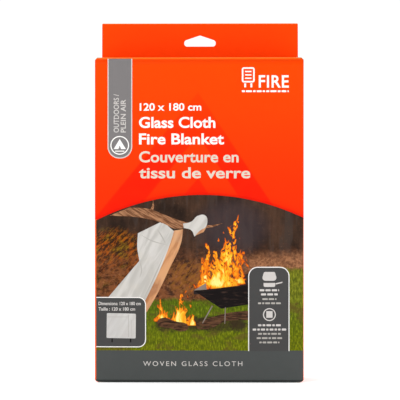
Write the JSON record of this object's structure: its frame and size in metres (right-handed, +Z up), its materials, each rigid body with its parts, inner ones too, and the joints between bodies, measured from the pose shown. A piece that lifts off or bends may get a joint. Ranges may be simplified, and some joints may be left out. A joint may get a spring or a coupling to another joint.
{
  "type": "fire blanket",
  "caption": "Folded woven glass cloth fire blanket in a hanging folding carton with a hang header, tuck-in closures and dust flaps.",
  "frame": {"origin": "centre of the carton's footprint, on the surface that it stands on", "axes": "+Z up to the hang header, -Y out of the printed front face, +X to the right seen from the front"},
  "size_m": [0.156, 0.042, 0.2725],
  "materials": {
    "printed_board": "satin",
    "raw_board": "matte",
    "glass_cloth": "matte",
    "black_webbing": "matte",
    "thread": "matte",
    "glue": "matte"
  },
  "bodies": {
    "carton": {"front_panel": "printed_board", "back_panel": "printed_board", "left_side_panel": "printed_board", "right_side_panel": "printed_board", "glue_flap": "raw_board", "seam_glue": "glue", "hang_header": "printed_board", "header_front_ply": "printed_board", "header_glue": "glue", "blanket": "glass_cloth", "pull_tape_left": "black_webbing", "pull_tape_right": "black_webbing", "tape_stitching": "thread"},
    "top_closure": {"top_flap": "printed_board", "top_tuck_lip": "printed_board"},
    "top_dust_left": {"top_dust_flap_left": "printed_board"},
    "top_dust_right": {"top_dust_flap_right": "printed_board"},
    "bottom_closure": {"bottom_flap": "printed_board", "bottom_tuck_lip": "printed_board"},
    "bottom_dust_left": {"bottom_dust_flap_left": "printed_board"},
    "bottom_dust_right": {"bottom_dust_flap_right": "printed_board"}
  },
  "joints": [
    {"name": "top_flap_hinge", "type": "hinge", "parent": "carton", "child": "top_closure", "pos_m": [0, -0.021, 0.243], "axis": [1, 0, 0], "range_deg": [0, 170]},
    {"name": "top_dust_hinge_left", "type": "hinge", "parent": "carton", "child": "top_dust_left", "pos_m": [-0.078, 0, 0.2424], "axis": [0, -1, 0], "range_deg": [0, 85]},
    {"name": "top_dust_hinge_right", "type": "hinge", "parent": "carton", "child": "top_dust_right", "pos_m": [0.078, 0, 0.2424], "axis": [0, 1, 0], "range_deg": [0, 85]},
    {"name": "bottom_flap_hinge", "type": "hinge", "parent": "carton", "child": "bottom_closure", "pos_m": [0, -0.021, 0], "axis": [-1, 0, 0], "range_deg": [0, 170]},
    {"name": "bottom_dust_hinge_left", "type": "hinge", "parent": "carton", "child": "bottom_dust_left", "pos_m": [-0.078, 0, 0.0006], "axis": [0, 1, 0], "range_deg": [0, 85]},
    {"name": "bottom_dust_hinge_right", "type": "hinge", "parent": "carton", "child": "bottom_dust_right", "pos_m": [0.078, 0, 0.0006], "axis": [0, -1, 0], "range_deg": [0, 85]}
  ],
  "couplings": [
    {"joint": "top_dust_hinge_left", "follows": "top_flap_hinge", "ratio": 0.5},
    {"joint": "top_dust_hinge_right", "follows": "top_flap_hinge", "ratio": 0.5},
    {"joint": "bottom_dust_hinge_left", "follows": "bottom_flap_hinge", "ratio": 0.5},
    {"joint": "bottom_dust_hinge_right", "follows": "bottom_flap_hinge", "ratio": 0.5}
  ]
}
